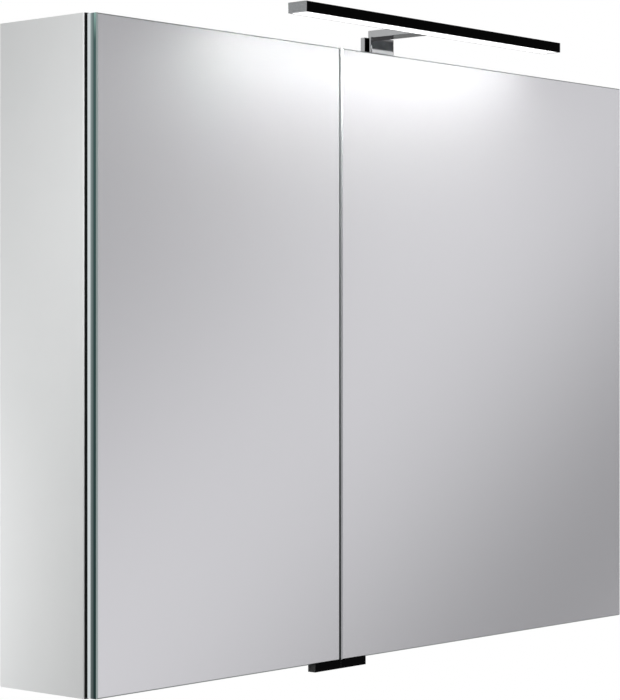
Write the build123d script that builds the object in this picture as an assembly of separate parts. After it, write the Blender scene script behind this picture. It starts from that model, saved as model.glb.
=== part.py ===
from build123d import *
import os
from math import radians, tan

# Overall size of the cabinet, in millimetres
cabinet_width = 1000.0
cabinet_height = 735.0
carcass_depth = 136.0
left_bay_width = 400.6
hang_drop = 60.0

# Boards of the carcass
board = 16.0
back_board = 6.0
back_recess = 16.0
groove_depth = 6.0
board_fit = 0.1
front_edge_radius = 3.5
dowel_radius = 4.0
dowel_in_face = 10.0
dowel_in_end = 20.0
dowel_inset = 26.0
dowel_fit = 0.05

# Glass shelves and their pins
shelf_glass = 5.0
shelf_arris = 0.4
shelf_side_gap = 1.0
shelf_front_gap = 7.0
shelf_back_gap = 2.0
lower_shelf_height = 225.0
upper_shelf_height = 455.0
shelf_pin_radius = 2.5
shelf_pin_depth = 6.0
shelf_pin_reach = 9.0
shelf_pin_width = 8.0
shelf_pin_height = 4.0
shelf_pin_inset = 22.0
shelf_hole_pitch = 32.0
shelf_hole_extra_depth = 0.6

# Doors: outer mirror, inner mirror and a frame behind them
outer_glass = 5.0
inner_glass = 5.0
frame_thickness = 5.0
frame_width = 30.0
door_reveal = 1.6
door_spacing = 4.2
bevel_width = 1.5
bevel_depth = 1.5
frame_chamfer = 0.4
pull_length = 46.5
pull_height = 9.8
pull_depth = 11.5
pull_meeting_gap = 0.6
pull_tab = 1.5
pull_tab_height = 18.0
pull_neck = 2.0
pull_edge_radius = 0.5
bumper_radius = 4.0
bumper_inset = 70.0
bumper_gap = 0.1

# Continuous hinge in the gap between carcass and door
hinge_gap = 4.0
hinge_inset = 1.8
hinge_end = 1.0
hinge_leaf = 0.7
hinge_leaf_width = 13.0
knuckle_radius = 1.7
knuckle_count = 15
knuckle_end_gap = 0.4
knuckle_side_gap = 0.35
hinge_pin_radius = 0.8
hinge_pin_fit = 0.05
hinge_screw_count = 7

# Magnet catches on the divider and their strike plates
catch_width = 14.0
catch_height = 40.0
catch_depth = 30.0
catch_proud = 1.6
catch_edge_radius = 0.8
magnet_width = 8.0
magnet_height = 18.0
magnet_depth = 12.0
magnet_gap = 0.15
strike_thickness = 1.0
strike_width = 16.0
strike_screw_spacing = 28.0
catch_screw_setback = 20.0

# Hangers inside the top corners, their hooks and the plates on the wall
hanger_width = 26.0
hanger_depth = 40.0
hanger_height = 44.0
hanger_below_top = 10.0
hanger_screw_spacing = 28.0
hanger_edge_radius = 1.0
hook_width = 18.0
hook_thickness = 2.5
hook_fit = 0.3
hook_reach = 30.0
wall_plate = 2.0
wall_plate_gap = 2.0
wall_plate_height = 80.0
wall_screw_spacing = 50.0
wall_screw_radius = 2.75
lip_thickness = 2.0
lip_height = 8.0

# Lamp above the doors, on its bracket
lamp_length = 496.0
lamp_height = 12.1
lamp_depth = 27.0
lamp_rise = 21.0
lamp_reach = 75.0
lamp_wall = 1.8
lamp_fit = 0.1
lamp_edge_radius = 0.3
end_cap = 1.0
end_cap_plug = 3.0
diffuser = 2.0
led_board = 1.2
led_board_width = 12.0
led_count = 24
led_size = 3.5
led_height = 0.7
arm_width = 29.0
arm_thickness = 9.0
arm_lift = 1.4
arm_edge_radius = 0.6
arm_behind_leg = 11.3
leg_depth = 2.5
leg_overhang = 2.0
leg_edge_radius = 2.0
bracket_width = 45.0
bracket_depth = 6.3
bracket_behind_leg = 10.3
bracket_lug_inset = 6.0
bracket_foot = 3.0
bracket_foot_length = 34.0
lamp_screw_spacing = 18.0
leg_screw_spacing = 20.0
bracket_screw_spacing = 28.0

# Lamp driver on top of the cabinet
driver_x = 130.0
driver_length = 140.0
driver_width = 42.0
driver_height = 17.0
driver_setback = 8.0
driver_base = 2.0
driver_tab = 12.0
driver_wall = 1.5
driver_edge_radius = 1.2
driver_board = 1.6
driver_board_margin = 8.0
driver_standoff = 2.0
gland_radius = 6.0
gland_length = 6.0
gland_neck_radius = 4.6
gland_bore_radius = 3.2
gland_inside = 3.0

# Switch under the top panel, in the right bay
switch_x = 230.0
switch_width = 46.0
switch_depth = 30.0
switch_height = 24.0
switch_setback = 10.0
switch_wall = 2.0
switch_edge_radius = 1.2
switch_foot_length = 9.0
rocker_width = 22.0
rocker_height = 13.0
rocker_rear_height = 8.6
rocker_front = 4.0
rocker_rear = 3.0
rocker_tilt = 8.0
rocker_axis_depth = 4.2
rocker_side_gap = 0.4
rocker_end_gap = 1.0
trunnion_radius = 1.5
trunnion_length = 2.5
trunnion_fit = 0.05
cheek_thickness = 3.5
cheek_margin = 3.0

# Screws: head radius, head height and shank radius, and the cross recess as shares of the head
small_head = 2.2
small_head_height = 0.8
small_shank = 1.1
recess_reach = 1.1
recess_width = 0.3
recess_depth = 0.5
wood_head = 3.2
wood_head_height = 1.4
wood_shank = 1.6
screw_fit = 0.05
hole_spare = 0.5
small_screw_in_wood = 11.0
small_screw_in_frame = 4.0
wood_screw_grip = 10.0
divider_screw_grip = 6.5
machine_screw_grip = 2.0
lamp_screw_grip = 8.0

# Places worked out from the sizes above
half_width = cabinet_width / 2
top = hang_drop
bottom = top - cabinet_height
inner_top = top - board
inner_bottom = bottom + board
inner_half = half_width - board
gap_x = left_bay_width - half_width
divider_left = gap_x - board / 2
divider_right = gap_x + board / 2
back_rear = -back_recess
back_front = back_rear - back_board
carcass_front = -carcass_depth
door_back = carcass_front - hinge_gap
frame_front = door_back - frame_thickness
inner_front = frame_front - inner_glass
door_front = inner_front - outer_glass
door_top = top - door_reveal
door_bottom = bottom + door_reveal
hinge_y = carcass_front - hinge_gap / 2
hinge_low = door_bottom + hinge_end
hinge_high = door_top - hinge_end
knuckle_pitch = (hinge_high - hinge_low) / knuckle_count
leaf_root = hinge_inset + knuckle_radius + knuckle_side_gap
leaf_edge = hinge_inset + hinge_leaf_width
catch_z = (top + bottom) / 2
lamp_low = door_top + lamp_rise
lamp_high = lamp_low + lamp_height
lamp_front = door_front - lamp_reach
lamp_rear = lamp_front + lamp_depth
leg_front = carcass_front - leg_overhang
leg_rear = leg_front + leg_depth
arm_low = lamp_low + arm_lift
arm_rear = leg_front + arm_behind_leg
bracket_front = leg_front + bracket_behind_leg
bracket_rear = bracket_front + bracket_depth
sides = {"left": -1, "right": 1}


def block(x_ends, y_ends, z_ends):
    """Block between two opposite corners, whichever end of each pair comes first."""
    ends = (x_ends, y_ends, z_ends)
    size = [abs(b - a) for a, b in ends]
    middle = [(a + b) / 2 for a, b in ends]
    return Pos(*middle) * Box(*size)


def rod(radius, start, end):
    """Round rod between two points."""
    path = Vector(*end) - Vector(*start)
    seat = Plane(origin=start, z_dir=path)
    return seat * Cylinder(radius, path.length, align=(Align.CENTER, Align.CENTER, Align.MIN))


def screw(seat, inward, head, head_height, shank, length):
    """Pan-head screw with a cross recess, its head on the seat and its shank pointing inward."""
    reach = head * recess_reach
    width = head * recess_width
    depth = head_height * recess_depth
    low = (Align.CENTER, Align.CENTER, Align.MIN)
    high = (Align.CENTER, Align.CENTER, Align.MAX)
    body = Cylinder(head, head_height, align=low) + Cylinder(shank, length, align=high)
    for slot in ((reach, width), (width, reach)):
        body -= Pos(0, 0, head_height) * Box(*slot, depth, align=high)
    outward = Vector(*inward) * -1
    return Plane(origin=seat, z_dir=outward) * body


def drill(seat, inward, radius, depth):
    """Round hole tool that starts at the seat and goes inward."""
    end = Vector(*seat) + Vector(*inward) * depth
    return rod(radius, seat, tuple(end))


def spread(low, high, count):
    """Evenly spaced places between two ends, half a step in from each."""
    step = (high - low) / count
    return [low + step * (i + 0.5) for i in range(count)]


def outer_x(side, inset):
    """Place at a given distance inside the outer face of one side."""
    return side * (half_width - inset)


nodes = {}


# Seats of the screws, each with the way it goes in, shared by screws and holes
hinge_screw_x = (leaf_root + leaf_edge) / 2
fixed_screw_heights = spread(hinge_low, hinge_high, hinge_screw_count)
moving_step = (hinge_high - hinge_low) / hinge_screw_count
moving_screw_heights = [z + moving_step / 2 for z in fixed_screw_heights[:-1]]
foot_screw_seats = [
    (x, bracket_rear + bracket_foot_length / 2, top + bracket_foot)
    for x in (-bracket_screw_spacing / 2, bracket_screw_spacing / 2)
]
driver_end = driver_x + driver_length
driver_rear = -driver_setback
driver_front = driver_rear - driver_width
driver_screw_seats = [
    (x, (driver_rear + driver_front) / 2, top + driver_base)
    for x in (driver_x - driver_tab / 2, driver_end + driver_tab / 2)
]
switch_low = inner_top - switch_height
switch_front = carcass_front + switch_setback
switch_left = switch_x - switch_width / 2
switch_right = switch_x + switch_width / 2
switch_screw_seats = [
    (x, switch_front + switch_depth / 2, inner_top - switch_wall)
    for x in (switch_left - switch_foot_length / 2, switch_right + switch_foot_length / 2)
]
catch_seats = {
    side: [
        (face, carcass_front + catch_screw_setback, catch_z + rise)
        for rise in (-strike_screw_spacing / 2, strike_screw_spacing / 2)
    ]
    for side, face in (("left", divider_left - catch_width), ("right", divider_right + catch_width))
}
hanger_high = inner_top - hanger_below_top
hanger_low = hanger_high - hanger_height
hanger_y = back_front - hanger_depth / 2
hanger_middle_z = (hanger_high + hanger_low) / 2
hanger_seats = {
    name: [
        (outer_x(side, board + hanger_width), hanger_y, hanger_middle_z + rise)
        for rise in (-hanger_screw_spacing / 2, hanger_screw_spacing / 2)
    ]
    for name, side in sides.items()
}

# Dowels tie the top and bottom panels to the sides and to the divider
dowel_rows = (carcass_front + dowel_inset, back_front - dowel_inset)
dowel_spans = []
for y in dowel_rows:
    for z in (top - board / 2, bottom + board / 2):
        for side in sides.values():
            start = (outer_x(side, board - dowel_in_face), y, z)
            end = (outer_x(side, board + dowel_in_end), y, z)
            dowel_spans.append((start, end))
    dowel_spans.append(((gap_x, y, inner_top + dowel_in_face), (gap_x, y, inner_top - dowel_in_end)))
    dowel_spans.append(((gap_x, y, inner_bottom - dowel_in_face), (gap_x, y, inner_bottom + dowel_in_end)))
nodes["carcass_dowels"] = Compound(children=[rod(dowel_radius, a, b) for a, b in dowel_spans])
dowel_holes = [rod(dowel_radius + dowel_fit, a, b) for a, b in dowel_spans]

# Shelf pins: a round shank in the board and a flat spade under the glass
bays = {
    "left": (-inner_half, divider_left),
    "right": (divider_right, inner_half),
}
shelf_levels = {"lower": inner_bottom + lower_shelf_height, "upper": inner_bottom + upper_shelf_height}
shelf_front = carcass_front + shelf_front_gap
shelf_rear = back_front - shelf_back_gap
pin_rows = (shelf_front + shelf_pin_inset, shelf_rear - shelf_pin_inset)
shelf_pins = []
shelf_holes = []
for bay_left, bay_right in bays.values():
    for level in shelf_levels.values():
        for y in pin_rows:
            for wall, inward in ((bay_left, 1), (bay_right, -1)):
                middle_z = level - shelf_pin_height / 2
                spade = block(
                    (wall, wall + inward * shelf_pin_reach),
                    (y - shelf_pin_width / 2, y + shelf_pin_width / 2),
                    (level - shelf_pin_height, level),
                )
                shank = drill((wall, y, middle_z), (-inward, 0, 0), shelf_pin_radius, shelf_pin_depth)
                shelf_pins.append(spade + shank)
                for step in (-1, 0, 1):
                    seat = (wall, y, middle_z + step * shelf_hole_pitch)
                    depth = shelf_pin_depth + shelf_hole_extra_depth
                    shelf_holes.append(drill(seat, (-inward, 0, 0), shelf_pin_radius + screw_fit, depth))
nodes["shelf_pins"] = Compound(children=shelf_pins)
for bay_name, (bay_left, bay_right) in bays.items():
    for level_name, level in shelf_levels.items():
        shelf = block(
            (bay_left + shelf_side_gap, bay_right - shelf_side_gap),
            (shelf_front, shelf_rear),
            (level, level + shelf_glass),
        )
        nodes[f"shelf_{bay_name}_{level_name}"] = chamfer(shelf.edges(), shelf_arris)

# Back panel in its groove, with a slot at each top corner for the hanger hook
groove = block(
    (-inner_half - groove_depth, inner_half + groove_depth),
    (back_rear + board_fit, back_front - board_fit),
    (inner_bottom - groove_depth, inner_top + groove_depth),
)
hook_low = lip_height + hook_fit
hook_high = hook_low + hook_thickness
hook_middle = board + hanger_width / 2
back_panel = block(
    (-inner_half - groove_depth + board_fit, inner_half + groove_depth - board_fit),
    (back_rear, back_front),
    (inner_bottom - groove_depth + board_fit, inner_top + groove_depth - board_fit),
)
for side in sides.values():
    slot_half = hook_width / 2 + hook_fit * 2
    back_panel -= block(
        (outer_x(side, hook_middle - slot_half), outer_x(side, hook_middle + slot_half)),
        (back_rear + board_fit, back_front - board_fit),
        (hook_low - hook_fit * 2, hook_high + hook_fit * 2),
    )
nodes["back_panel"] = back_panel

# Side panels, full height, with a rounded front edge that the door clears as it swings
for name, side in sides.items():
    panel = block((outer_x(side, 0), outer_x(side, board)), (carcass_front, 0), (bottom, top))
    front_edges = panel.edges().filter_by(Axis.Z).group_by(Axis.Y)[0]
    outer_edge = front_edges.sort_by(Axis.X)[0 if side < 0 else -1]
    panel = fillet(outer_edge, front_edge_radius)
    panel -= groove
    near_holes = [hole for hole in dowel_holes + shelf_holes if side * hole.center().X > inner_half - board]
    for z in fixed_screw_heights:
        seat = (outer_x(side, hinge_screw_x), carcass_front, z)
        near_holes.append(drill(seat, (0, 1, 0), small_shank + screw_fit, small_screw_in_wood + hole_spare))
    for seat in hanger_seats[name]:
        depth = hanger_width + wood_screw_grip + hole_spare
        near_holes.append(drill(seat, (side, 0, 0), wood_shank + screw_fit, depth))
    panel -= near_holes
    nodes[f"side_panel_{name}"] = panel

# Top and bottom panels between the sides
top_panel = block((-inner_half, inner_half), (carcass_front, 0), (inner_top, top)) - groove
top_panel -= [hole for hole in dowel_holes if hole.center().Z > inner_top - dowel_in_end]
top_screws = (
    (foot_screw_seats, -1, bracket_foot),
    (driver_screw_seats, -1, driver_base),
    (switch_screw_seats, 1, switch_wall),
)
for seats, way, clamped in top_screws:
    for seat in seats:
        depth = clamped + wood_screw_grip + hole_spare
        top_panel -= drill(seat, (0, 0, way), wood_shank + screw_fit, depth)
nodes["top_panel"] = top_panel
bottom_panel = block((-inner_half, inner_half), (carcass_front, 0), (bottom, inner_bottom)) - groove
bottom_panel -= [hole for hole in dowel_holes if hole.center().Z < inner_bottom + dowel_in_end]
nodes["bottom_panel"] = bottom_panel

# Divider behind the gap between the doors
divider = block(
    (divider_left, divider_right), (carcass_front, back_front - board_fit * 2), (inner_bottom, inner_top)
)
divider -= [hole for hole in dowel_holes + shelf_holes if abs(hole.center().X - gap_x) < board]
for name, inward in (("left", 1), ("right", -1)):
    for seat in catch_seats[name]:
        depth = catch_width + divider_screw_grip + hole_spare
        divider -= drill(seat, (inward, 0, 0), wood_shank + screw_fit, depth)
nodes["divider_panel"] = divider

# Wall plates, hooks and hangers in the two top corners
hanger_screws = []
for name, side in sides.items():
    plate_ends = (
        outer_x(side, board + wall_plate_gap),
        outer_x(side, board + hanger_width - wall_plate_gap),
    )
    plate = block(plate_ends, (0, -wall_plate), (-wall_plate_height / 2, wall_plate_height / 2))
    lip_rear = -wall_plate - hook_thickness - hook_fit * 2
    lip_front = lip_rear - lip_thickness
    lip_ends = (outer_x(side, hook_middle - hook_width / 2), outer_x(side, hook_middle + hook_width / 2))
    plate += block(lip_ends, (-wall_plate, lip_front), (-lip_thickness, 0))
    plate += block(lip_ends, (lip_rear, lip_front), (-lip_thickness, lip_height))
    for z in (-wall_screw_spacing / 2, wall_screw_spacing / 2):
        seat = (outer_x(side, hook_middle), 0, z)
        plate -= drill(seat, (0, -1, 0), wall_screw_radius, wall_plate)
    nodes[f"wall_plate_{name}"] = plate

    hook_rear = -wall_plate - hook_fit
    hook = block(lip_ends, (hook_rear, back_front - hook_reach), (hook_low, hook_high))
    hook += block(lip_ends, (hook_rear, hook_rear - hook_thickness), (hook_fit, hook_high))
    nodes[f"hanger_hook_{name}"] = hook

    hanger = block(
        (outer_x(side, board), outer_x(side, board + hanger_width)),
        (back_front, back_front - hanger_depth),
        (hanger_low, hanger_high),
    )
    exposed_face = hanger.faces().sort_by(Axis.X)[-1 if side < 0 else 0]
    hanger = fillet(exposed_face.edges(), hanger_edge_radius)
    socket_half = hook_width / 2 + hook_fit
    hanger -= block(
        (outer_x(side, hook_middle - socket_half), outer_x(side, hook_middle + socket_half)),
        (back_front, back_front - hook_reach - hook_fit),
        (hook_low - hook_fit, hook_high + hook_fit),
    )
    for seat in hanger_seats[name]:
        hanger -= drill(seat, (side, 0, 0), wood_shank + screw_fit, hanger_width)
        length = hanger_width + wood_screw_grip
        hanger_screws.append(screw(seat, (side, 0, 0), wood_head, wood_head_height, wood_shank, length))
    nodes[f"hanger_{name}"] = hanger
nodes["hanger_screws"] = Compound(children=hanger_screws)


def hinge_half(side, moving):
    """One leaf with its share of the knuckles, bored for the pin."""
    face = door_back if moving else carcass_front
    inner = face + hinge_leaf if moving else face - hinge_leaf
    axis_x = outer_x(side, hinge_inset)
    root = outer_x(side, leaf_root)
    leaf = block((root, outer_x(side, leaf_edge)), (face, inner), (hinge_low, hinge_high))
    for i in range(1 if moving else 0, knuckle_count, 2):
        low = hinge_low + i * knuckle_pitch + knuckle_end_gap / 2
        high = low + knuckle_pitch - knuckle_end_gap
        leaf += rod(knuckle_radius, (axis_x, hinge_y, low), (axis_x, hinge_y, high))
        leaf += block((axis_x, root), (face, inner), (low, high))
    bore_ends = ((axis_x, hinge_y, hinge_low), (axis_x, hinge_y, hinge_high))
    leaf -= rod(hinge_pin_radius + hinge_pin_fit, *bore_ends)
    for z in moving_screw_heights if moving else fixed_screw_heights:
        seat = (outer_x(side, hinge_screw_x), inner, z)
        leaf -= drill(seat, (0, -1 if moving else 1, 0), small_shank + screw_fit, hinge_leaf)
    return leaf


# Fixed hinge leaves on the front edges of the sides, with their pins and screws
hinge_pins = []
hinge_screws = []
for name, side in sides.items():
    nodes[f"hinge_leaf_fixed_{name}"] = hinge_half(side, False)
    axis_x = outer_x(side, hinge_inset)
    hinge_pins.append(rod(hinge_pin_radius, (axis_x, hinge_y, hinge_low), (axis_x, hinge_y, hinge_high)))
    for z in fixed_screw_heights:
        seat = (outer_x(side, hinge_screw_x), carcass_front - hinge_leaf, z)
        length = hinge_leaf + small_screw_in_wood
        hinge_screws.append(screw(seat, (0, 1, 0), small_head, small_head_height, small_shank, length))
nodes["hinge_pins"] = Compound(children=hinge_pins)
nodes["hinge_screws"] = Compound(children=hinge_screws)

# Magnet catches on both faces of the divider
fixing_screws = []
magnets = []
for name, inward, face in (("left", 1, divider_left), ("right", -1, divider_right)):
    housing_front = carcass_front - catch_proud
    middle_x = face - inward * catch_width / 2
    housing = block(
        (face - inward * catch_width, face),
        (housing_front, carcass_front + catch_depth),
        (catch_z - catch_height / 2, catch_z + catch_height / 2),
    )
    exposed_face = housing.faces().sort_by(Axis.X)[0 if inward > 0 else -1]
    housing = fillet(exposed_face.edges(), catch_edge_radius)
    magnet_front = door_back + strike_thickness + magnet_gap
    magnet = block(
        (middle_x - magnet_width / 2, middle_x + magnet_width / 2),
        (magnet_front, magnet_front + magnet_depth),
        (catch_z - magnet_height / 2, catch_z + magnet_height / 2),
    )
    housing -= magnet
    for seat in catch_seats[name]:
        housing -= drill(seat, (inward, 0, 0), wood_shank + screw_fit, catch_width)
        length = catch_width + divider_screw_grip
        fixing_screws.append(screw(seat, (inward, 0, 0), wood_head, wood_head_height, wood_shank, length))
    nodes[f"magnet_catch_{name}"] = housing
    magnets.append(magnet)
nodes["catch_magnets"] = Compound(children=magnets)


def bevelled_glass(x_ends, z_ends, rear, front):
    """Flat glass with a narrow ground bevel all round its front face."""
    shoulder = front + bevel_depth
    width = x_ends[1] - x_ends[0]
    height = z_ends[1] - z_ends[0]
    middle = ((x_ends[0] + x_ends[1]) / 2, (z_ends[0] + z_ends[1]) / 2)

    def outline(y, inset):
        seat = Plane(origin=(middle[0], y, middle[1]), x_dir=(1, 0, 0), z_dir=(0, -1, 0))
        return seat * Rectangle(width - inset * 2, height - inset * 2)

    bevel = loft([outline(shoulder, 0), outline(front, bevel_width)], ruled=True)
    return block(x_ends, (rear, shoulder), z_ends) + bevel


# Doors: glass, frame, hinge leaf, pull, strike plate and bumpers on each
door_ends = {
    "left": (-half_width, gap_x - door_spacing / 2),
    "right": (gap_x + door_spacing / 2, half_width),
}
door_z = (door_bottom, door_top)
for name, side in sides.items():
    x_ends = door_ends[name]
    nodes[f"mirror_outer_{name}"] = bevelled_glass(x_ends, door_z, inner_front, door_front)
    nodes[f"mirror_inner_{name}"] = block(x_ends, (frame_front, inner_front), door_z)

    frame = block(x_ends, (door_back, frame_front), door_z)
    frame -= block(
        (x_ends[0] + frame_width, x_ends[1] - frame_width),
        (door_back, frame_front),
        (door_bottom + frame_width, door_top - frame_width),
    )
    rear_edges = frame.edges().filter_by(Axis.Z).group_by(Axis.Y)[-1]
    frame = chamfer(rear_edges.sort_by(Axis.X)[0 if side < 0 else -1], frame_chamfer)

    nodes[f"hinge_leaf_moving_{name}"] = hinge_half(side, True)
    hinge_seats = [(outer_x(side, hinge_screw_x), z) for z in moving_screw_heights]

    pull_ends = (gap_x + side * pull_meeting_gap / 2, gap_x + side * pull_length)
    pull_rear = door_front + pull_depth
    pull = block(pull_ends, (door_front, pull_rear), (door_bottom - pull_height, door_bottom))
    front_edges = pull.faces().sort_by(Axis.Y)[0].edges().sort_by(Axis.X)
    pull = fillet(front_edges[:-1] if side < 0 else front_edges[1:], pull_edge_radius)
    neck_low = door_bottom - pull_neck
    pull += block(pull_ends, (pull_rear, door_back + pull_tab), (neck_low, door_bottom))
    tab_ends = (gap_x + side * door_spacing / 2, pull_ends[1])
    tab_high = door_bottom + pull_tab_height
    pull += block(tab_ends, (door_back, door_back + pull_tab), (neck_low, tab_high))
    pull_seats = [(x, (door_bottom + tab_high) / 2) for x in spread(*tab_ends, 2)]
    for x, z in pull_seats:
        pull -= drill((x, door_back, z), (0, 1, 0), small_shank + screw_fit, pull_tab)
    nodes[f"door_pull_{name}"] = pull

    strike_x = gap_x + side * (board + catch_width) / 2
    strike = block(
        (strike_x - strike_width / 2, strike_x + strike_width / 2),
        (door_back, door_back + strike_thickness),
        (catch_z - catch_height / 2, catch_z + catch_height / 2),
    )
    strike_rises = (-strike_screw_spacing / 2, strike_screw_spacing / 2)
    strike_seats = [(strike_x, catch_z + rise) for rise in strike_rises]
    for x, z in strike_seats:
        strike -= drill((x, door_back, z), (0, 1, 0), small_shank + screw_fit, strike_thickness)
    nodes[f"strike_plate_{name}"] = strike

    door_screws = []
    door_seats = ((hinge_seats, hinge_leaf), (pull_seats, pull_tab), (strike_seats, strike_thickness))
    for seats, clamped in door_seats:
        length = clamped + small_screw_in_frame
        for x, z in seats:
            seat = (x, door_back + clamped, z)
            frame -= drill(seat, (0, -1, 0), small_shank + screw_fit, length)
            door_screws.append(screw(seat, (0, -1, 0), small_head, small_head_height, small_shank, length))
    nodes[f"door_frame_{name}"] = frame
    nodes[f"door_screws_{name}"] = Compound(children=door_screws)

    bumper_x = gap_x + side * bumper_inset
    bumper_tip = carcass_front - bumper_gap
    nodes[f"door_bumpers_{name}"] = Compound(
        children=[
            rod(bumper_radius, (bumper_x, door_back, z), (bumper_x, bumper_tip, z))
            for z in (bottom + board / 2, top - board / 2)
        ]
    )

# Lamp bracket: a plate screwed to the top panel, and a leg with the arm that carries the lamp
bracket_x = (-bracket_width / 2, bracket_width / 2)
leg = block(bracket_x, (leg_front, leg_rear), (top, arm_low))
leg = fillet(leg.edges().filter_by(Axis.Z).group_by(Axis.Y)[0], leg_edge_radius)
bar = block((-arm_width / 2, arm_width / 2), (lamp_rear, arm_rear), (arm_low, arm_low + arm_thickness))
bar = fillet(bar.edges().filter_by(Axis.Y), arm_edge_radius)
arm = leg + bar
lug_half = bracket_width / 2 - bracket_lug_inset
bracket = block(bracket_x, (bracket_front, bracket_rear), (top, arm_low))
bracket += block((-lug_half, lug_half), (leg_rear, bracket_front), (top, arm_low))
bracket += block(bracket_x, (bracket_rear, bracket_rear + bracket_foot_length), (top, top + bracket_foot))
bracket_screws = []
for seat in foot_screw_seats:
    bracket -= drill(seat, (0, 0, -1), wood_shank + screw_fit, bracket_foot)
    length = bracket_foot + wood_screw_grip
    bracket_screws.append(screw(seat, (0, 0, -1), wood_head, wood_head_height, wood_shank, length))
for x in (-leg_screw_spacing / 2, leg_screw_spacing / 2):
    seat = (x, bracket_rear, (top + bracket_foot + arm_low) / 2)
    length = bracket_rear - leg_rear + machine_screw_grip
    bracket -= drill(seat, (0, -1, 0), wood_shank + screw_fit, length)
    arm -= drill(seat, (0, -1, 0), wood_shank + screw_fit, length)
    bracket_screws.append(screw(seat, (0, -1, 0), wood_head, wood_head_height, wood_shank, length))

# Lamp profile, screwed to the arm from inside its channel
lamp_screws = []
lamp_profile_half = lamp_length / 2 - end_cap
profile = block((-lamp_profile_half, lamp_profile_half), (lamp_front, lamp_rear), (lamp_low, lamp_high))
profile = fillet(profile.edges().filter_by(Axis.X), lamp_edge_radius)
channel = (lamp_front + lamp_wall, lamp_rear - lamp_wall)
profile -= block((-lamp_profile_half, lamp_profile_half), channel, (lamp_low, lamp_high - lamp_wall))
for x in (-lamp_screw_spacing / 2, lamp_screw_spacing / 2):
    seat = (x, lamp_rear - lamp_wall, arm_low + arm_thickness / 2)
    length = lamp_wall + lamp_screw_grip
    profile -= drill(seat, (0, 1, 0), small_shank + screw_fit, lamp_wall)
    arm -= drill(seat, (0, 1, 0), small_shank + screw_fit, length)
    lamp_screws.append(screw(seat, (0, 1, 0), small_head, small_head_height, small_shank, length))
nodes["lamp_arm"] = arm
nodes["lamp_plate"] = bracket
nodes["lamp_profile"] = profile
nodes["lamp_screws"] = Compound(children=lamp_screws)
nodes["bracket_screws"] = Compound(children=bracket_screws)

# End caps, diffuser and light strip inside the lamp profile
plug_y = (channel[0] + lamp_fit, channel[1] - lamp_fit)
for name, side in sides.items():
    cap_ends = (side * lamp_length / 2, side * lamp_profile_half)
    cap = block(cap_ends, (lamp_front, lamp_rear), (lamp_low, lamp_high))
    cap = fillet(cap.edges().filter_by(Axis.X), lamp_edge_radius)
    cap += block(
        (side * lamp_profile_half, side * (lamp_profile_half - end_cap_plug)),
        plug_y,
        (lamp_low, lamp_high - lamp_wall - lamp_fit),
    )
    nodes[f"lamp_end_cap_{name}"] = cap
strip_half = lamp_profile_half - end_cap_plug - lamp_fit
nodes["lamp_diffuser"] = block((-strip_half, strip_half), plug_y, (lamp_low, lamp_low + diffuser))
board_y = (lamp_front + lamp_rear) / 2
board_high = lamp_high - lamp_wall
strip = block(
    (-strip_half, strip_half),
    (board_y - led_board_width / 2, board_y + led_board_width / 2),
    (board_high - led_board, board_high),
)
led_low = board_high - led_board - led_height
for x in spread(-strip_half, strip_half, led_count):
    strip += block(
        (x - led_size / 2, x + led_size / 2),
        (board_y - led_size / 2, board_y + led_size / 2),
        (led_low, board_high - led_board),
    )
nodes["led_strip"] = strip

# Lamp driver: base with two screw tabs, cover, circuit board and cable gland
driver_y = (driver_front, driver_rear)
base = block((driver_x - driver_tab, driver_end + driver_tab), driver_y, (top, top + driver_base))
cover_low = top + driver_base
cover_high = top + driver_height
cover = block((driver_x, driver_end), driver_y, (cover_low, cover_high))
lid_edges = cover.faces().sort_by(Axis.Z)[-1].edges()
cover = fillet(cover.edges().filter_by(Axis.Z) + lid_edges, driver_edge_radius)
cover -= block(
    (driver_x + driver_wall, driver_end - driver_wall),
    (driver_front + driver_wall, driver_rear - driver_wall),
    (cover_low, cover_high - driver_wall),
)
gland_z = (cover_low + cover_high) / 2
gland_y = (driver_front + driver_rear) / 2
gland_inner_end = driver_end - driver_wall - gland_inside
cover -= drill((driver_end, gland_y, gland_z), (-1, 0, 0), gland_neck_radius + screw_fit, driver_wall)
gland = rod(gland_radius, (driver_end, gland_y, gland_z), (driver_end + gland_length, gland_y, gland_z))
gland += rod(gland_neck_radius, (gland_inner_end, gland_y, gland_z), (driver_end, gland_y, gland_z))
gland -= rod(
    gland_bore_radius, (gland_inner_end, gland_y, gland_z), (driver_end + gland_length, gland_y, gland_z)
)
for seat in driver_screw_seats:
    base -= drill(seat, (0, 0, -1), wood_shank + screw_fit, driver_base)
    length = driver_base + wood_screw_grip
    fixing_screws.append(screw(seat, (0, 0, -1), wood_head, wood_head_height, wood_shank, length))
circuit_x = (driver_x + driver_board_margin, gland_inner_end - driver_board_margin)
circuit_y = (driver_front + driver_board_margin, driver_rear - driver_board_margin)
circuit_low = cover_low + driver_standoff
circuit = block(circuit_x, circuit_y, (circuit_low, circuit_low + driver_board))
for x in spread(circuit_x[0], circuit_x[1], 2):
    circuit += rod(driver_standoff, (x, gland_y, cover_low), (x, gland_y, circuit_low))
nodes["driver_base"] = base
nodes["driver_cover"] = cover
nodes["driver_gland"] = gland
nodes["driver_board"] = circuit

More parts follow.
